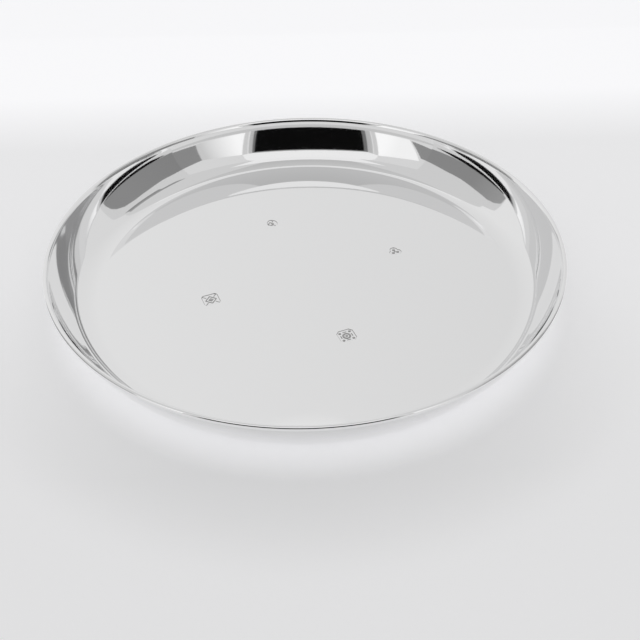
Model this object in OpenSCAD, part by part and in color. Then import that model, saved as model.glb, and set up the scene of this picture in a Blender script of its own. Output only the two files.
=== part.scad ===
// Offering plate: a shallow round dish raised from one silver sheet, with a half-round wire
// soldered round the edge of its lip and four marks struck into its floor.
// Millimetres, +Z up. The origin is the centre of the underside, where the dish stands.

/* [Plate] */
// Diameter over the rim wire
plate_d = 250; // [180:1:360]
// Depth from the top of the rim wire down to the inside of the floor
inside_depth = 24.5; // [18:0.5:40]
// Thickness of the silver sheet
sheet_t = 1.4; // [0.8:0.1:2]

/* [Wall] */
// Inside radius of the curve from the floor up into the wall
cove_r = 12; // [8:0.5:20]
// Slope at which that curve passes into the wall, in degrees from level
cove_slope = 56; // [40:1:62]
// Steepest slope of the wall, just under the lip
wall_slope = 75; // [68:1:80]

/* [Lip] */
// Radius of the lip's curve, on its upper side
lip_r = 5; // [4:0.5:20]
// Slope that is left at the end of the lip
lip_slope = 57; // [20:1:62]

/* [Rim wire] */
// Diameter of the half-round wire on the lip's edge
wire_d = 2.2; // [1.8:0.1:4]
// Width of the butt joint where the wire's two ends meet
wire_joint = 0.1; // [0.05:0.05:0.5]

/* [Struck marks] */
// Radius of the circle that the marks stand on
mark_ring_r = 50.5; // [30:0.5:60]
// Direction of the first mark from the centre, in degrees
mark_turn = 21; // [0:1:89]
// Width of the two larger marks
large_mark_w = 8; // [5:0.5:10]
// Width of the two smaller marks
small_mark_w = 6.6; // [4:0.2:8]
// Depth of the strikes
strike_depth = 0.3; // [0.1:0.05:0.6]

/* [Hidden] */

$fn = 180;
SILVER = [0.86, 0.86, 0.87];
WIRE_SILVER = [0.78, 0.78, 0.80];

// The wire's top stands a little over the end of the lip
floor_z = sheet_t;
wire_r = wire_d / 2;
wire_rise = wire_r * (1 - cos(lip_slope));

// Rise of the cove and of the lip; the wall between them is one long, gentle curve that takes up
// the height that is left, and turns from the cove's slope to its own
cove_rise = cove_r * (1 - cos(cove_slope));
lip_rise = lip_r * (cos(lip_slope) - cos(wall_slope));
wall_rise = inside_depth - cove_rise - lip_rise - wire_rise;
wall_r = wall_rise / (cos(cove_slope) - cos(wall_slope));

// Width of each of them, seen from above, and what they leave for the flat of the floor
cove_run = cove_r * sin(cove_slope);
wall_run = wall_r * (sin(wall_slope) - sin(cove_slope));
lip_run = lip_r * (sin(wall_slope) - sin(lip_slope));
wire_run = wire_r * (1 + sin(lip_slope));
floor_r = plate_d / 2 - cove_run - wall_run - lip_run - wire_run;

// How far a cut reaches past what it cuts
SPARE = 1;

// Half of a disc about the origin: the side that faces the direction a
module half_disc(r, a) {
    rotate(a)
        intersection() {
            circle(r);
            translate([0, -r - SPARE]) square([r + SPARE, 2 * (r + SPARE)]);
        }
}

// A stretch of the sheet's section. It starts level at the origin with the sheet under the line,
// and turns by a about a centre r above it; both are negative where it turns downwards.
module bend(r, a) {
    inner_r = r > 0 ? r : -r - sheet_t;
    outer_r = inner_r + sheet_t;
    translate([0, r])
        difference() {
            intersection() {
                half_disc(outer_r, 0);
                rotate(a) half_disc(outer_r, 180);
            }
            circle(inner_r);
        }
}

// Goes on to the end of such a stretch, so that what follows shares its end exactly
module after_bend(r, a) {
    translate([0, r]) rotate(a) translate([0, -r]) children();
}

module after_floor() {
    translate([floor_r, floor_z]) children();
}

module after_cove() {
    after_floor() after_bend(cove_r, cove_slope) children();
}

module after_wall() {
    after_cove() after_bend(wall_r, wall_slope - cove_slope) children();
}

module after_lip() {
    after_wall() after_bend(-lip_r, lip_slope - wall_slope) children();
}

// Section of the sheet, one half, from the centre out to the end of the lip
module sheet_section() {
    square([floor_r, sheet_t]);
    after_floor() bend(cove_r, cove_slope);
    after_cove() bend(wall_r, wall_slope - cove_slope);
    after_wall() bend(-lip_r, lip_slope - wall_slope);
}

// Outlines of the struck marks, and the small raised device that each punch leaves standing

module canted_square(w) {
    intersection() {
        square(w, center = true);
        rotate(45) square(1.16 * w, center = true);
    }
}

module round_square(w) {
    corner_r = w / 5;
    straight = w - 2 * corner_r;
    square([w, straight], center = true);
    square([straight, w], center = true);
    for (x = [-1, 1], y = [-1, 1])
        translate([x, y] * straight / 2) circle(corner_r);
}

module three_lobes(w) {
    for (a = [90, 210, 330])
        rotate(a) translate([0.21 * w, 0]) circle(0.3 * w);
}

module lens_outline(w) {
    curve_r = 0.53 * w;
    intersection() {
        translate([0, -0.11 * w]) circle(curve_r);
        translate([0, 0.11 * w]) circle(curve_r);
    }
}

module ring_device(w) {
    difference() {
        circle(w / 4);
        circle(w / 7);
    }
}

module diamond_device(w) {
    rotate(45) square(w / 3, center = true);
}

module pellets_device(w) {
    for (a = [90, 210, 330])
        rotate(a) translate([0.22 * w, 0]) circle(w / 9);
}

module bar_device(w) {
    square([w / 3, w / 9], center = true);
}

// One strike, the i-th round the circle of marks, cut down into the floor and turned with the circle
module strike(i) {
    rotate(mark_turn + 90 * i)
        translate([mark_ring_r, 0, floor_z - strike_depth])
            linear_extrude(strike_depth + SPARE)
                difference() {
                    children(0);
                    children(1);
                }
}

module struck_marks() {
    strike(0) {
        three_lobes(small_mark_w);
        pellets_device(small_mark_w);
    }
    strike(1) {
        lens_outline(small_mark_w);
        bar_device(small_mark_w);
    }
    strike(2) {
        round_square(large_mark_w);
        diamond_device(large_mark_w);
    }
    strike(3) {
        canted_square(large_mark_w);
        ring_device(large_mark_w);
    }
}

// Floor, cove, wall and lip, all one sheet
module dish_body() {
    color(SILVER)
        difference() {
            rotate_extrude() sheet_section();
            struck_marks();
        }
}

// Half-round wire, its flat on the sheet's edge and its round side outwards. It is bent into a
// ring whose ends meet at the back, in line with +Y.
module rim_wire() {
    color(WIRE_SILVER)
        difference() {
            rotate_extrude()
                after_lip() translate([0, -wire_r]) half_disc(wire_r, 0);
            translate([-wire_joint / 2, 0, 0])
                cube([wire_joint, plate_d / 2 + SPARE, floor_z + inside_depth + SPARE]);
        }
}

dish_body();
rim_wire();
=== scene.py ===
import math

import bmesh
import bpy
from mathutils import Matrix, Vector, geometry


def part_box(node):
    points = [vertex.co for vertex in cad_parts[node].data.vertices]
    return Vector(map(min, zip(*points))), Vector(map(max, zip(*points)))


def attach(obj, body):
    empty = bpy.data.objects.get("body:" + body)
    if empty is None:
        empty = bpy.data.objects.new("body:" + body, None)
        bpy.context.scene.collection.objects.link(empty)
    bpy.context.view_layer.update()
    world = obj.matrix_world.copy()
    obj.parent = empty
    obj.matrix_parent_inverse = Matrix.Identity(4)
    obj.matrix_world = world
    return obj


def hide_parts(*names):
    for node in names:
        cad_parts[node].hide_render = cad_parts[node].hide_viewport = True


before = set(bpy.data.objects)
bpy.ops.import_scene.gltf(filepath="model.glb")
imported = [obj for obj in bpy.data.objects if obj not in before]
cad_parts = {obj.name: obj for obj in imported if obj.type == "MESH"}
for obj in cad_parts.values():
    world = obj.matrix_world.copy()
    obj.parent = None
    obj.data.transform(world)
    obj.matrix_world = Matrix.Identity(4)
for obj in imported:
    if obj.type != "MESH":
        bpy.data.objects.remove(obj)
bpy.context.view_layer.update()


# ---------------------------------------------------------------------------------------------
# The dish: floor, wall and lip, one sheet of sterling silver, spun over a former and polished to a
# mirror inside. Four marks are struck into the floor from above, and each punch leaves a small
# device standing in its sunk field. The outside is only buffed, and darkened with painted shade.

MM = 0.001
QUARTER = math.pi / 2
HALF = math.pi

wire_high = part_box("rim_wire")[1]
rim_radius = wire_high.x
rim_top = wire_high.z

sheet_thickness = 1.4 * MM
cove_radius = 12 * MM
cove_slope = math.radians(56)
wall_slope = math.radians(75)
lip_radius = 5 * MM
lip_slope = math.radians(57)
wire_radius = 1.1 * MM

# The wall's long curve takes up the height that the cove, the lip and the wire leave over
cove_rise = cove_radius * (1 - math.cos(cove_slope))
lip_rise = lip_radius * (math.cos(lip_slope) - math.cos(wall_slope))
wire_rise = wire_radius * (1 - math.cos(lip_slope))
wall_rise = rim_top - sheet_thickness - cove_rise - lip_rise - wire_rise
wall_radius = wall_rise / (math.cos(cove_slope) - math.cos(wall_slope))

# Radii from the rim inwards. The spun part of the floor ends at the middle radius, and the struck
# part lies inside it.
lip_end_radius = rim_radius - wire_radius * (1 + math.sin(lip_slope))
wall_end_radius = lip_end_radius - lip_radius * (math.sin(wall_slope) - math.sin(lip_slope))
cove_end_radius = wall_end_radius - wall_radius * (math.sin(wall_slope) - math.sin(cove_slope))
floor_radius = cove_end_radius - cove_radius * math.sin(cove_slope)
middle_radius = 62 * MM

# A mask's value per metre, so that it is a clean step
STEP_SLOPE = 1e5


class Term:
    """An output of a node tree. Python arithmetic on it adds Math nodes to the tree."""

    def __init__(self, tree, socket=None):
        self.tree = tree
        self.socket = socket

    def add(self, kind, settings=None, values=None, output=0):
        """Adds a node: its settings first, then the values or links of its sockets."""
        node = self.tree.nodes.new(kind)
        for name, value in (settings or {}).items():
            setattr(node, name, value)
        for name, value in (values or {}).items():
            if isinstance(value, Term):
                self.tree.links.new(value.socket, node.inputs[name])
            else:
                node.inputs[name].default_value = value
        return Term(self.tree, node.outputs[output]) if node.outputs else None

    def other(self, name):
        """Another output of the same node."""
        return Term(self.tree, self.socket.node.outputs[name])

    def math(self, operation, *values, clamp=False):
        settings = {"operation": operation, "use_clamp": clamp}
        return self.add("ShaderNodeMath", settings, dict(enumerate(values)))

    def __add__(self, other):
        return self.math("ADD", self, other)

    def __sub__(self, other):
        return self.math("SUBTRACT", self, other)

    def __rsub__(self, other):
        return self.math("SUBTRACT", other, self)

    def __mul__(self, other):
        return self.math("MULTIPLY", self, other)

    def __truediv__(self, other):
        return self.math("DIVIDE", self, other)

    __radd__ = __add__
    __rmul__ = __mul__

    def sine(self):
        return self.math("SINE", self)

    def cosine(self):
        return self.math("COSINE", self)

    def absolute(self):
        return self.math("ABSOLUTE", self)

    def clamped(self):
        return self.math("ADD", self, 0, clamp=True)

    def step(self):
        """0 where this value is negative, and 1 where it is over a hundredth of a millimetre."""
        return (self * STEP_SLOPE).clamped()

    def between(self, colour, far_colour):
        """A colour that turns into another as this value goes from 0 to 1."""
        return self.add(
            "ShaderNodeMix",
            {"data_type": "RGBA"},
            {"Factor": self, "A": colour, "B": far_colour},
            output="Result",
        )


# Columns of faces round the dish, the gap that is closed at a seam, the edge angle that stays
# sharp, and a turn so small that it is none
COLUMNS = 480
JOIN_DISTANCE = 2e-6
CREASE_ANGLE = math.radians(40)
NEARLY_ZERO = 1e-6


def placed(name, data):
    """A new object at the origin, in the scene."""
    piece = bpy.data.objects.new(name, data)
    bpy.context.scene.collection.objects.link(piece)
    return piece


def spinning_tree(name, stretches):
    """A Geometry Nodes tree that walks along a section and turns it round the Z axis. Each named
    stretch has its length, its number of rows, its slope at the start and the turn along it."""
    tree = bpy.data.node_groups.new(name, "GeometryNodeTree")
    sockets = tree.interface
    sockets.new_socket("Geometry", in_out="OUTPUT", socket_type="NodeSocketGeometry")
    sockets.new_socket("Columns", in_out="INPUT", socket_type="NodeSocketInt")
    sockets.new_socket("Start radius", in_out="INPUT", socket_type="NodeSocketFloat")
    sockets.new_socket("Start height", in_out="INPUT", socket_type="NodeSocketFloat")
    sockets.new_socket("Finish", in_out="INPUT", socket_type="NodeSocketMaterial")
    for stretch in stretches:
        for size in ("length", "slope", "turn", "rows"):
            kind = "NodeSocketInt" if size == "rows" else "NodeSocketFloat"
            sockets.new_socket(f"{stretch} {size}", in_out="INPUT", socket_type=kind)

    inputs = Term(tree).add("NodeGroupInput")
    columns = inputs.other("Columns")
    rows = 1 + sum(inputs.other(f"{stretch} rows") for stretch in stretches)
    sheet = inputs.add(
        "GeometryNodeMeshGrid",
        values={"Vertices X": rows, "Vertices Y": columns + 1, "Size X": 1.0, "Size Y": 1.0},
    )
    place = inputs.add("GeometryNodeInputPosition")
    across = inputs.add("ShaderNodeSeparateXYZ", values={"Vector": place})
    row = (across + 0.5) * (rows - 1)
    angle = (across.other("Y") + 0.5) * math.tau

    # Along a curve the chord is the arc's length times sin(h) / h, where h is half the turn
    radius, height = inputs.other("Start radius"), inputs.other("Start height")
    row_before = 0
    for stretch in stretches:
        stretch_rows = inputs.other(f"{stretch} rows")
        share = ((row - row_before) / stretch_rows).clamped()
        half_turn = share * inputs.other(f"{stretch} turn") / 2 + NEARLY_ZERO
        chord = share * inputs.other(f"{stretch} length") * half_turn.sine() / half_turn
        heading = inputs.other(f"{stretch} slope") + half_turn
        radius = radius + chord * heading.cosine()
        height = height + chord * heading.sine()
        row_before = stretch_rows + row_before
    spun = inputs.add(
        "ShaderNodeCombineXYZ",
        values={"X": radius * angle.cosine(), "Y": radius * angle.sine(), "Z": height},
    )
    shell = inputs.add("GeometryNodeSetPosition", values={"Geometry": sheet, "Position": spun})
    shell = inputs.add(
        "GeometryNodeMergeByDistance", values={"Geometry": shell, "Distance": JOIN_DISTANCE}
    )
    shell = inputs.add("GeometryNodeRealizeInstances", values={"Geometry": shell})
    shell = inputs.add(
        "GeometryNodeSetMaterial", values={"Geometry": shell, "Material": inputs.other("Finish")}
    )
    inputs.add("NodeGroupOutput", values={"Geometry": shell})
    return tree


def spun_shell(name, stretches, sizes, finish):
    """Turns a section into a plain mesh. A stretch is (name, length, rows, slope, turn)."""
    tree = spinning_tree(name, [stretch[0] for stretch in stretches])
    holder = placed(name, bpy.data.meshes.new(name))
    modifier = holder.modifiers.new("Spin", "NODES")
    modifier.node_group = tree
    values = dict(sizes, Finish=finish)
    for stretch, length, stretch_rows, slope, turn in stretches:
        values[f"{stretch} length"] = length
        values[f"{stretch} rows"] = stretch_rows
        values[f"{stretch} slope"] = slope
        values[f"{stretch} turn"] = turn
    for socket in tree.interface.items_tree:
        if socket.in_out == "INPUT":
            modifier[socket.identifier] = values[socket.name]
    drawn = holder.evaluated_get(bpy.context.evaluated_depsgraph_get())
    shell = bpy.data.meshes.new_from_object(drawn)
    bpy.data.objects.remove(holder)
    return shell


def finished_piece(name, form, finish):
    """Closes a bmesh into an object at the origin, with its faces outwards and its creases kept."""
    bmesh.ops.remove_doubles(form, verts=form.verts, dist=JOIN_DISTANCE)
    bmesh.ops.recalc_face_normals(form, faces=form.faces)
    if form.calc_volume(signed=True) < 0:
        bmesh.ops.reverse_faces(form, faces=form.faces)
    mesh = bpy.data.meshes.new(name)
    form.to_mesh(mesh)
    form.free()
    mesh.materials.clear()
    mesh.materials.append(finish)
    mesh.shade_smooth()
    mesh.set_sharp_from_angle(angle=CREASE_ANGLE)
    return placed(name, mesh)


# Polished silver. A mirror that is not quite even: a slow unevenness left by the hand, rings left
# by the polishing mop, and fine scratches in three directions. Its gloss is a little cloudy.

SILVER_COLOUR = (0.945, 0.945, 0.948, 1)
# The outside's colour: buffed silver, darkened with painted shade on the faces that look down
BUFFED_SHADED_COLOUR = (0.85, 0.85, 0.85, 1)
TARNISH_COLOUR = (0.16, 0.155, 0.15, 1)

# How closely the waves, the clouds in the gloss and the rings lie, in cycles per metre, and how
# often a ring varies in each radian round the dish
WAVE_SCALE = 38.0
CLOUD_SCALE = 22.0
RING_SCALE = 9000
RING_SCALE_ROUND = 3

# Direction of each set of scratches, and how closely they lie across it and along it. Only the
# peaks of the noise are kept as lines.
SCRATCH_SETS = ((0.35, 2600), (1.3, 3100), (2.5, 2200))
SCRATCH_SCALE_ALONG = 45
SCRATCH_LEVEL = 0.66
SCRATCH_SHARPNESS = 9


def blank_finish(name):
    """A material with an empty node tree, and the first term of that tree."""
    finish = bpy.data.materials.new(name)
    finish.use_nodes = True
    finish.node_tree.nodes.clear()
    return finish, Term(finish.node_tree)


def silver_finish(name, roughness, ring_depth, scratch_depth, wave_depth):
    """A polished silver material and the terms that a piece adds its own wear with."""
    finish, start = blank_finish(name)
    place = start.add("ShaderNodeTexCoord", output="Object")
    axes = start.add("ShaderNodeSeparateXYZ", values={"Vector": place})
    x, y, z = axes, axes.other("Y"), axes.other("Z")
    radius = start.math("SQRT", x * x + y * y)
    turn = start.math("ARCTAN2", y, x)

    waves = start.add(
        "ShaderNodeTexNoise",
        values={"Vector": place, "Scale": WAVE_SCALE, "Detail": 1.0, "Roughness": 0.4},
    )

    # The mop's rings are very fine across the radius, and long round the dish
    ring_place = start.add(
        "ShaderNodeCombineXYZ",
        values={"X": (radius + z) * RING_SCALE, "Y": turn * RING_SCALE_ROUND, "Z": 0.0},
    )
    rings = start.add(
        "ShaderNodeTexNoise", values={"Vector": ring_place, "Scale": 1.0, "Detail": 2.0}
    )

    # Each set of scratches is a noise stretched along its own direction and cut to thin lines
    scratches = None
    for heading, spacing in SCRATCH_SETS:
        turned = start.add(
            "ShaderNodeMapping",
            values={
                "Vector": place,
                "Rotation": (0, 0, heading),
                "Scale": (SCRATCH_SCALE_ALONG, spacing, spacing),
            },
        )
        streak = start.add(
            "ShaderNodeTexNoise", values={"Vector": turned, "Scale": 1.0, "Detail": 1.0}
        )
        line = ((streak - SCRATCH_LEVEL) * SCRATCH_SHARPNESS).clamped()
        scratches = line if scratches is None else scratches.math("MAXIMUM", scratches, line)

    cloud = start.add(
        "ShaderNodeTexNoise", values={"Vector": place, "Scale": CLOUD_SCALE, "Detail": 4.0}
    )
    gloss = roughness * (0.7 + 0.6 * cloud) + 0.05 * scratches
    height = waves * wave_depth + rings * ring_depth - scratches * scratch_depth
    relief = start.add(
        "ShaderNodeBump", values={"Height": height, "Distance": 1.0, "Strength": 1.0}
    )
    terms = {"x": x, "y": y, "z": z, "radius": radius, "cloud": cloud, "gloss": gloss,
             "relief": relief}
    return finish, start, terms


# A face looks down as soon as it is about two degrees past upright
OUTSIDE_SHARPNESS = 30


def outside_share(start):
    """1 on faces that look down, which are the outside and the underside, and 0 on the others."""
    facing = start.add("ShaderNodeNewGeometry", output="Normal")
    upward = start.add("ShaderNodeSeparateXYZ", values={"Vector": facing}).other("Z")
    return (upward * -OUTSIDE_SHARPNESS).clamped()


def close_finish(start, colour, gloss, relief):
    """Adds the shader itself, once a piece's colour, gloss and relief are known."""
    shader = start.add(
        "ShaderNodeBsdfPrincipled",
        values={"Base Color": colour, "Metallic": 1.0, "Roughness": gloss, "Normal": relief},
    )
    start.add("ShaderNodeOutputMaterial", values={"Surface": shader})


sheet_finish, sheet_start, sheet_terms = silver_finish(
    "polished_sheet", roughness=0.035, ring_depth=4e-8, scratch_depth=1.5e-7, wave_depth=6e-6
)

# The marks stand on a circle, a quarter of a turn apart
MARK_RING = 50.5 * MM
MARK_TURN = math.radians(21)
MARK_DEPTH = 0.3 * MM
LARGE_MARK = 8 * MM
SMALL_MARK = 6.6 * MM

mark_turns = [MARK_TURN + k * QUARTER for k in range(4)]
mark_centres = [MARK_RING * Vector((math.cos(turn), math.sin(turn))) for turn in mark_turns]

COS_45 = math.sqrt(0.5)


def box_distance(u, v, half_u, half_v, corner):
    """Distance outside a rectangle with round corners, negative inside."""
    du, dv = abs(u) - half_u + corner, abs(v) - half_v + corner
    return math.hypot(max(du, 0), max(dv, 0)) + min(max(du, dv), 0) - corner


def disc_distance(u, v, radius):
    return math.hypot(u, v) - radius


# Each mark is its outline and the device inside it, both as a distance that is negative inside.
# u and v are a point's place in the mark, and w is the mark's width.


def lobes_mark(u, v, w):
    outline, device = w, w
    for k in range(3):
        angle = QUARTER + k * math.tau / 3
        cu, cv = math.cos(angle), math.sin(angle)
        outline = min(outline, disc_distance(u - 0.21 * w * cu, v - 0.21 * w * cv, 0.3 * w))
        device = min(device, disc_distance(u - 0.22 * w * cu, v - 0.22 * w * cv, 0.11 * w))
    return outline, min(device, disc_distance(u, v, 0.06 * w))


def lens_mark(u, v, w):
    outline = disc_distance(u, abs(v) + 0.11 * w, 0.53 * w)
    bar = box_distance(u + 0.04 * w, v, w / 5, w / 14, w / 40)
    turned_u, turned_v = (u + v) * COS_45, (u - v) * COS_45
    chevron = box_distance(turned_u - 0.1 * w, turned_v + 0.1 * w, w / 6, w / 6, 0)
    pellets = disc_distance(abs(u) - w / 3.2, v + w / 8, w / 22)
    return outline, min(bar, abs(chevron) - w / 40, pellets)


def square_mark(u, v, w):
    outline = box_distance(u, v, w / 2, w / 2, w / 5)
    turned_u, turned_v = (u + v) * COS_45, (u - v) * COS_45
    lozenge = abs(box_distance(turned_u, turned_v, 0.24 * w, 0.24 * w, w / 40)) - w / 45
    core = box_distance(turned_u, turned_v, w / 9, w / 9, w / 60)
    rays = max(abs(abs(u) - abs(v)) - w / 50, 0.34 * w - math.hypot(u, v))
    return outline, min(core, lozenge, rays)


def canted_mark(u, v, w):
    turned_u, turned_v = (u + v) * COS_45, (u - v) * COS_45
    cut = box_distance(turned_u, turned_v, 0.58 * w, 0.58 * w, 0)
    outline = max(box_distance(u, v, w / 2, w / 2, 0), cut)
    ring = abs(disc_distance(u, v, 0.2 * w)) - w / 22
    petals = disc_distance(abs(u) - 0.31 * w, abs(v) - 0.31 * w, w / 14)
    bars = min(box_distance(u, abs(v) - 0.34 * w, w / 9, w / 60, 0),
               box_distance(abs(u) - 0.34 * w, v, w / 60, w / 9, 0))
    return outline, min(ring, petals, bars, disc_distance(u, v, w / 14))


marks = [
    (lobes_mark, SMALL_MARK),
    (lens_mark, SMALL_MARK),
    (square_mark, LARGE_MARK),
    (canted_mark, LARGE_MARK),
]


# Half the width of a strike's sides, the low edge of metal that rises round a strike, and how much
# of the strike's depth its device stands up again
SIDE_HALF = 0.12 * MM
BURR_HEIGHT = 0.018 * MM
BURR_DISTANCE = 0.22 * MM
BURR_WIDTH = 0.16 * MM
DEVICE_RISE = 0.8


def soft_step(value, half_width):
    share = min(max(value / half_width / 2 + 0.5, 0), 1)
    return share * share * (3 - 2 * share)


def strike_height(shape, width, u, v):
    """Height of the struck floor over the flat one: a sunk field, a device, a low raised edge."""
    outline, device = shape(u, v, width)
    field = soft_step(-outline, SIDE_HALF)
    raised = soft_step(-device, SIDE_HALF) * field
    burr = math.exp(-((outline - BURR_DISTANCE) / BURR_WIDTH) ** 2)
    return -MARK_DEPTH * (field - DEVICE_RISE * raised) + BURR_HEIGHT * burr


# Half the width of the fine patch that holds a mark, the faces along its side, and the distance
# at which two corners of the sheet between the patches are one
PATCH_HALF = 5.8 * MM
PATCH_STEPS = 96
MERGE_DISTANCE = 1e-9


def struck_patch(form, centre, turn, shape, width):
    """A fine square of floor with one mark in it. Returns the points of its border, in order."""
    cos_turn, sin_turn = math.cos(turn), math.sin(turn)
    grid = []
    for row in range(PATCH_STEPS + 1):
        v = PATCH_HALF * (2 * row / PATCH_STEPS - 1)
        line = []
        for column in range(PATCH_STEPS + 1):
            u = PATCH_HALF * (2 * column / PATCH_STEPS - 1)
            on_border = row in (0, PATCH_STEPS) or column in (0, PATCH_STEPS)
            mark_u, mark_v = u * cos_turn + v * sin_turn, v * cos_turn - u * sin_turn
            lift = 0 if on_border else strike_height(shape, width, mark_u, mark_v)
            line.append(form.verts.new((centre.x + u, centre.y + v, sheet_thickness + lift)))
        grid.append(line)
    for below, above in zip(grid, grid[1:]):
        for k in range(PATCH_STEPS):
            form.faces.new((below[k], below[k + 1], above[k + 1], above[k]))
    right = [line[-1] for line in grid[1:-1]]
    left = [line[0] for line in grid[1:-1]]
    return [point.co.xy for point in grid[0] + right + grid[-1][::-1] + left[::-1]]


def middle_ring():
    """The points that the spun part of the floor ends in, one for each column."""
    turns = [math.tau * k / COLUMNS for k in range(COLUMNS)]
    return [Vector((middle_radius * math.cos(turn), middle_radius * math.sin(turn))) for turn in turns]


def in_patch(point):
    return any(max(abs(point.x - c.x), abs(point.y - c.y)) < PATCH_HALF for c in mark_centres)


def floor_middle(form):
    """The floor inside the spun part: four struck patches, and plain sheet between them."""
    points = middle_ring()
    loops = [(0, COLUMNS)]
    for centre, turn, (shape, width) in zip(mark_centres, mark_turns, marks):
        border = struck_patch(form, centre, turn, shape, width)
        loops.append((len(points), len(border)))
        points += border
    edges = [(first + k, first + (k + 1) % count) for first, count in loops for k in range(count)]
    corners, _, triangles = geometry.delaunay_2d_cdt(points, edges, [], 0, MERGE_DISTANCE)[:3]
    verts = [form.verts.new((*corner, sheet_thickness)) for corner in corners]
    for triangle in triangles:
        middle = sum((corners[k] for k in triangle), Vector((0, 0))) / 3
        if not in_patch(middle):
            form.faces.new([verts[k] for k in triangle])


# The section, from the floor up over the inside, round the lip's edge and back under the outside.
# Each stretch has its name, length, rows, slope at the start and turn.
cove_turn, wall_turn, lip_turn = cove_slope, wall_slope - cove_slope, lip_slope - wall_slope
dish_section = [
    ("Floor", floor_radius - middle_radius, 4, 0, 0),
    ("Cove", cove_radius * cove_turn, 22, 0, cove_turn),
    ("Wall", wall_radius * wall_turn, 24, cove_slope, wall_turn),
    ("Lip", -lip_radius * lip_turn, 8, wall_slope, lip_turn),
    ("Edge", sheet_thickness, 1, lip_slope - QUARTER, 0),
    ("Under lip", -(lip_radius - sheet_thickness) * lip_turn, 4, lip_slope - HALF, -lip_turn),
    ("Under wall", (wall_radius + sheet_thickness) * wall_turn, 16, wall_slope - HALF, -wall_turn),
    ("Under cove", (cove_radius + sheet_thickness) * cove_turn, 18, cove_slope - HALF, -cove_turn),
    ("Base", floor_radius - middle_radius, 3, -HALF, 0),
]
dish_sizes = {"Columns": COLUMNS, "Start radius": middle_radius, "Start height": sheet_thickness}

dish_form = bmesh.new()
dish_form.from_mesh(spun_shell("spun_dish", dish_section, dish_sizes, sheet_finish))
floor_middle(dish_form)
base_ring = [dish_form.verts.new((*point, 0)) for point in middle_ring()]
base_centre = dish_form.verts.new((0, 0, 0))
for here, following in zip(base_ring, base_ring[1:] + base_ring[:1]):
    dish_form.faces.new((base_centre, following, here))
dish = finished_piece("silver_dish", dish_form, sheet_finish)

# Tarnish stays on the steep sides of the strikes, between the floor's height and the sunk field's
sunk = ((sheet_thickness - sheet_terms["z"]) / MARK_DEPTH).clamped()
on_sides = 4 * sunk * (1 - sunk)
on_floor = (sheet_terms["z"] - sheet_thickness / 2).step()
near_marks = (middle_radius - sheet_terms["radius"]).step()
tarnish = (0.9 * on_sides + 0.03 * sunk) * on_floor * near_marks
tarnished = tarnish.between(SILVER_COLOUR, TARNISH_COLOUR)

# The outside is softer and more cloudy, and less bright: partly its buffed finish, partly painted
# shade on the faces that look down
outside = outside_share(sheet_start)
buffed_and_shaded = outside * (0.75 + 0.5 * sheet_terms["cloud"])
dish_gloss = sheet_terms["gloss"] + 0.12 * tarnish + outside * (0.08 + 0.1 * sheet_terms["cloud"])
close_finish(
    sheet_start, buffed_and_shaded.between(tarnished, BUFFED_SHADED_COLOUR), dish_gloss, sheet_terms["relief"]
)

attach(dish, "root")
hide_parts("dish_body")


# ---------------------------------------------------------------------------------------------
# The rim wire: half-round silver wire, bent into a ring and soldered along the lip's edge. Its
# ends meet in a butt joint at the back, filed and polished until only a hairline is left.

wire_finish, wire_start, wire_terms = silver_finish(
    "polished_wire", roughness=0.045, ring_depth=2e-8, scratch_depth=8e-8, wave_depth=3e-6
)

# The round side, from the lip's end over the top, and then the flat back to where it began
wire_section = [
    ("Round", wire_radius * HALF, 22, lip_slope, -HALF),
    ("Flat", 2 * wire_radius, 4, lip_slope + QUARTER, 0),
]
wire_sizes = {
    "Columns": COLUMNS, "Start radius": lip_end_radius, "Start height": rim_top - wire_rise
}
wire_form = bmesh.new()
wire_form.from_mesh(spun_shell("bent_wire", wire_section, wire_sizes, wire_finish))
wire = finished_piece("half_round_wire", wire_form, wire_finish)

# The hairline of the joint, at the back
JOINT_HALF = 0.06 * MM
at_joint = (1 - wire_terms["x"].absolute() / JOINT_HALF).clamped()
hairline = 0.6 * at_joint * wire_terms["y"].step()
close_finish(
    wire_start,
    hairline.between(SILVER_COLOUR, TARNISH_COLOUR),
    wire_terms["gloss"] + 0.2 * hairline,
    wire_terms["relief"],
)

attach(wire, "root")
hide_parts("rim_wire")


# ---------------------------------------------------------------------------------------------
# The studio: a white light tent on a pale table, open at the front. Its walls are seen only in the
# silver, so that they never stand in a view's way. Lengths are in rim radii from the rim's centre.

R = rim_radius
RIM_CENTRE = Vector((0, 0, rim_top))


def grey(level):
    """The grey that a display shows as level out of 255."""
    value = ((level / 255 + 0.055) / 1.055) ** 2.4
    return (value, value, value, 1)


def glow(name, level, fade=None):
    """A surface that shines with a display level. A fade is (axis, from, to, level at the end)."""
    finish, start = blank_finish(name)
    colour = grey(level)
    if fade:
        axis, low, high, far_level = fade
        place = start.add("ShaderNodeTexCoord", output="Object")
        along = start.add("ShaderNodeSeparateXYZ", values={"Vector": place}).other(axis)
        along = (along - RIM_CENTRE["XYZ".index(axis)]) / R
        share = ((along - low) / (high - low)).clamped()
        colour = share.between(colour, grey(far_level))
    light = start.add("ShaderNodeEmission", values={"Color": colour, "Strength": 1.0})
    start.add("ShaderNodeOutputMaterial", values={"Surface": light})
    return finish


def panel(name, corners, level, fade=None):
    """A flat piece of the tent, seen only in reflections."""
    mesh = bpy.data.meshes.new(name)
    points = [RIM_CENTRE + R * Vector(corner) for corner in corners]
    mesh.from_pydata(points, [], [tuple(range(len(points)))])
    mesh.materials.append(glow(name + "_glow", level, fade))
    cloth = placed(name, mesh)
    cloth.visible_camera = False
    cloth.visible_diffuse = False
    cloth.visible_shadow = False


def wall(name, axis, place, outline, level, fade=None):
    """A panel square to an axis. The outline gives its corners along the other two axes."""
    corners = [[*corner] for corner in outline]
    for corner in corners:
        corner.insert(axis, place)
    panel(name, corners, level, fade)


def block(low, high):
    """Outline of a rectangle from its low corner to its high one."""
    return [low, (high[0], low[1]), high, (low[0], high[1])]


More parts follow.
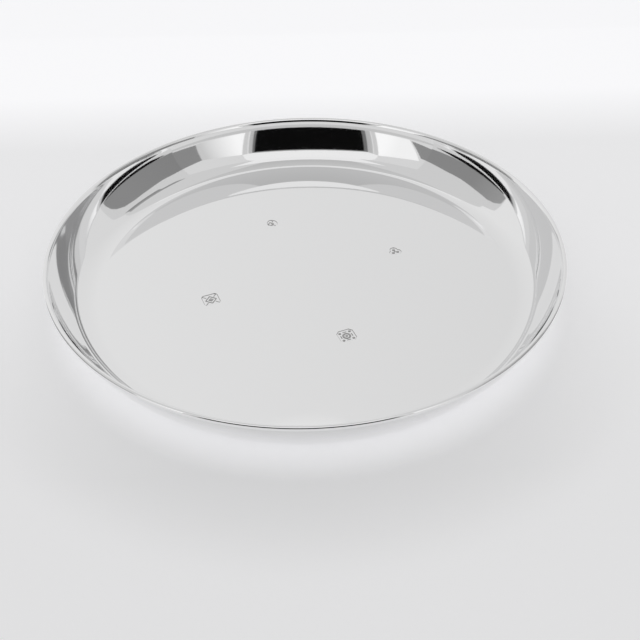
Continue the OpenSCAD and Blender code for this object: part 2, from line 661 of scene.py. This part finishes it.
X, Y, Z = 0, 1, 2
FLOOR_Z = -rim_top / R
SIDE = 5.6
BACK = 2.6
FRONT = -2.3
CEILING = 4.2
SILL = 0.48

# What hangs in front of a wall stands off it by one layer
LAYER = 0.01

# Display levels of the tent's cloth, the dark gaps, and the strips of the opening's frame
CLOTH = 207
GAP = 12
FRAME_OUTER = 203
FRAME_STRIP = 222
FRAME_EDGE = 112

wall("tent_back", Y, BACK, block((-SIDE, FLOOR_Z), (SIDE, CEILING)), 229, ("X", -2.2, 2.2, 219))
back_glow = [(-1.0, 3.74), (-0.7, 3.57), (-0.4, 3.47), (-0.1, 3.44), (0.3, 3.5), (0.6, 3.62),
             (0.8, 3.76)]
wall("back_glow", Y, BACK - LAYER, back_glow, 222, ("Z", 3.45, 3.74, 250))

# Overhead the cloth is bright towards the front, with a grey patch above the dish. Its right end
# and the top of the right side hang in shade.
wall("ceiling", Z, CEILING, block((-SIDE, FRONT), (SIDE, BACK)), CLOTH)
wall("ceiling_front", Z, CEILING - LAYER, block((-1.9, FRONT), (1.6, -0.5)), 236)
wall("ceiling_patch", Z, CEILING - LAYER, block((-1.0, -0.5), (0.8, BACK)), 186, ("Y", -0.5, 2.0, 196))
wall("ceiling_shade", Z, CEILING - LAYER, block((4.4, -1.2), (SIDE, 2.3)), 150)
wall("right_shade", X, SIDE - LAYER, block((-0.2, 3.55), (2.3, CEILING)), 138)

# Each side has a grey sheet with a rounded back corner, and a dark gap under it
wall("left_cloth", X, -SIDE, block((FRONT, FLOOR_Z), (BACK, CEILING)), CLOTH)
left_sheet = [(-2.3, 0.85), (-1, 0.62), (0, 0.52), (1, 0.45), (2.2, 0.36), (2.55, 0.4), (2.5, 1.1),
              (2.2, 1.55), (1.8, 1.82), (1, 1.95), (0, 2.05), (-1, 2.3), (-2.3, 2.45)]
wall("left_sheet", X, -SIDE + LAYER, left_sheet, 136, ("Y", 0.5, 2.4, 152))
left_gap = [(-2.1, 0.48), (-1, 0.33), (0, 0.25), (1, 0.24), (2.4, 0.27), (2.3, 0.34), (1, 0.46),
            (0, 0.53), (-1, 0.57)]
wall("left_gap", X, -SIDE + 2 * LAYER, left_gap, GAP)
wall("right_cloth", X, SIDE, block((FRONT, FLOOR_Z), (BACK, CEILING)), CLOTH)
right_sheet = [(-2.3, 0.5), (-1.2, 0.42), (0, 0.35), (1, 0.3), (2.3, 0.25), (2.28, 0.6), (2.15, 1.2),
               (1.95, 1.6), (1.55, 2.05), (0.9, 2.33), (0, 2.5), (-0.9, 2.62), (-1.7, 2.85), (-2.3, 2.95)]
wall("right_sheet", X, SIDE - LAYER, right_sheet, 131, ("Y", -2.3, 1.0, 137))
right_gap = [(-1.9, 0.4), (-1, 0.2), (0, 0.17), (1, 0.18), (2.3, 0.21), (2.2, 0.29), (1, 0.34),
             (0, 0.4), (-1.2, 0.44)]
wall("right_gap", X, SIDE - 2 * LAYER, right_gap, GAP)

# The front: a dark opening, wider at its top, between grey frames, white flaps and grey sheets.
# Each part has its name, level, fade and corners.
wall("front_cloth", Y, FRONT, block((-SIDE, FLOOR_Z), (SIDE, CEILING)), 216)
wall("front_header", Y, FRONT + LAYER, block((-2.33, 2.0), (1.72, CEILING)), 238)
wall("front_sill", Y, FRONT + LAYER, block((-SIDE, 0.3), (SIDE, SILL)), 196)
front_parts = [
    ("sheet_left", 140, None, (-5.6, 0.92), (-3.6, 0.62), (-4.95, 2.25), (-5.6, 2.45)),
    ("sheet_right", 138, None, (3.45, 0.6), (5.6, 0.6), (5.6, 2.95), (3.55, 2.15)),
    ("flap_left", 254, ("X", -2.3, -3.0, 246), (-3.45, 0.55), (-1.85, 0.5), (-2.33, 2.4), (-4.95, 2.6)),
    ("frame_left_outer", FRAME_OUTER, None, (-1.85, SILL), (-1.72, SILL), (-2.13, 2.28), (-2.33, 2.4)),
    ("frame_left_light", FRAME_STRIP, None, (-1.72, SILL), (-1.68, SILL), (-2.08, 2.26), (-2.13, 2.28)),
    ("frame_left_inner", 184, None, (-1.68, SILL), (-1.53, SILL), (-1.86, 2.12), (-2.08, 2.26)),
    ("frame_left_edge", FRAME_EDGE, None, (-1.53, SILL), (-1.42, SILL), (-1.72, 2.05), (-1.86, 2.12)),
    ("opening", 10, None, (-1.42, SILL), (1.05, 0.46), (1.3, 2.0), (-1.72, 2.05)),
    ("opening_top", 150, None, (-1.72, 2.05), (1.3, 2.0), (1.38, 2.08), (-1.86, 2.12)),
    ("frame_right_edge", FRAME_EDGE, None, (1.05, 0.46), (1.12, 0.46), (1.38, 2.08), (1.3, 2.0)),
    ("frame_right_inner", 186, None, (1.12, 0.46), (1.22, 0.46), (1.5, 2.1), (1.38, 2.08)),
    ("frame_right_light", FRAME_STRIP, None, (1.22, 0.46), (1.26, 0.46), (1.55, 2.12), (1.5, 2.1)),
    ("frame_right_outer", FRAME_OUTER, None, (1.26, 0.46), (1.38, SILL), (1.72, 2.15), (1.55, 2.12)),
    ("flap_right", 202, ("X", 3.2, 1.7, 252), (1.38, 0.5), (3.45, 0.56), (3.55, 2.15), (1.72, 2.15)),
]
for part, level, fade, *outline in front_parts:
    wall(f"front_{part}", Y, FRONT + 2 * LAYER, outline, level, fade)

# The table: plain pale laminate, with painted light that makes it brighter towards the back. The
# tent's panels throw neither light nor shadow on it, so its colour also holds painted light where the
# silver throws light down beside the dish, and painted shade in front.
TABLE_HALF = 40
TABLE_SHADE = (0.56, 0.56, 0.56, 1)
TABLE_LIT = (0.89, 0.89, 0.905, 1)
TABLE_LEVEL = 0.56
# The table also shines a little by itself: painted light that softens the dish's shadow on it
TABLE_GLOW = 0.4

# Where the painted light towards the back of the table starts, and over how far it fades in
BACK_START = 1.1
BACK_FADE = 0.6

# How much the silver's light adds beside the dish, and how much the shade takes in front of it,
# close to the dish and farther off
EDGE_LIGHT = 0.42
NEAR_SHADE = 0.15
FRONT_SHADE = 0.11

table_mesh = bpy.data.meshes.new("table")
table_outline = block((-TABLE_HALF, -TABLE_HALF), (TABLE_HALF, TABLE_HALF))
table_mesh.from_pydata([(x * R, y * R, 0) for x, y in table_outline], [], [(0, 1, 2, 3)])
table = placed("table", table_mesh)

table_finish, table_start = blank_finish("pale_laminate")
table_place = table_start.add("ShaderNodeTexCoord", output="Object")
table_axes = table_start.add("ShaderNodeSeparateXYZ", values={"Vector": table_place})
table_x, table_y = table_axes / R, table_axes.other("Y") / R
table_ring = table_start.math("SQRT", table_x * table_x + table_y * table_y)
back_light_share = ((table_y - BACK_START) / BACK_FADE).clamped()
front_share = (0 - table_y).clamped()


def table_hill(middle, half_width):
    """A smooth rise to 1 at a distance from the dish's middle, and back to 0 on both sides."""
    off = (table_ring - middle) / half_width
    hill = (1 - off * off).clamped()
    return hill * hill


lit_edge = table_hill(0.92, 0.13) * EDGE_LIGHT
near_shade = table_hill(1.14, 0.26) * front_share * front_share * NEAR_SHADE
shade = near_shade + front_share * FRONT_SHADE
table_mix = (TABLE_LEVEL + (1 - TABLE_LEVEL) * back_light_share + lit_edge - shade).clamped()
table_colour = table_mix.between(TABLE_SHADE, TABLE_LIT)
laminate = table_start.add(
    "ShaderNodeBsdfPrincipled",
    values={"Base Color": table_colour, "Roughness": 0.6, "Specular IOR Level": 0.2,
            "Emission Color": table_colour, "Emission Strength": TABLE_GLOW},
)
table_start.add("ShaderNodeOutputMaterial", values={"Surface": laminate})
table_mesh.materials.append(table_finish)

# Soft daylight from every side
SKY_COLOUR = (1, 1, 1, 1)
SKY_STRENGTH = 0.64

world = bpy.data.worlds.new("soft_daylight")
bpy.context.scene.world = world
world.use_nodes = True
world.node_tree.nodes.clear()
sky_start = Term(world.node_tree)
sky = sky_start.add("ShaderNodeBackground", values={"Color": SKY_COLOUR, "Strength": SKY_STRENGTH})
sky_start.add("ShaderNodeOutputWorld", values={"Surface": sky})

bpy.context.scene.view_settings.view_transform = "Standard"


# ---------------------------------------------------------------------------------------------
# The camera: in front of the dish and above it, looking down at about 35 degrees

CAMERA_ELEVATION = math.radians(34.8)
CAMERA_DISTANCE = 3.11 * R
CAMERA_TILT = math.radians(-6.18)
CAMERA_YAW = math.radians(-1.21)
CAMERA_ROLL = math.radians(-0.72)
FILM_WIDTH = 36
FOCAL_LENGTH = 44.38
NEAREST_SEEN = 5 * MM

camera_data = bpy.data.cameras.new("camera")
camera_data.sensor_width = FILM_WIDTH
camera_data.lens = FOCAL_LENGTH
camera_data.clip_start = NEAREST_SEEN
camera = placed("camera", camera_data)
towards_camera = Vector((0, -math.cos(CAMERA_ELEVATION), math.sin(CAMERA_ELEVATION)))
camera.matrix_world = (
    Matrix.Translation(RIM_CENTRE + CAMERA_DISTANCE * towards_camera)
    @ Matrix.Rotation(CAMERA_YAW, 4, "Z")
    @ Matrix.Rotation(QUARTER - CAMERA_ELEVATION + CAMERA_TILT, 4, "X")
    @ Matrix.Rotation(CAMERA_ROLL, 4, "Z")
)
bpy.context.scene.camera = camera
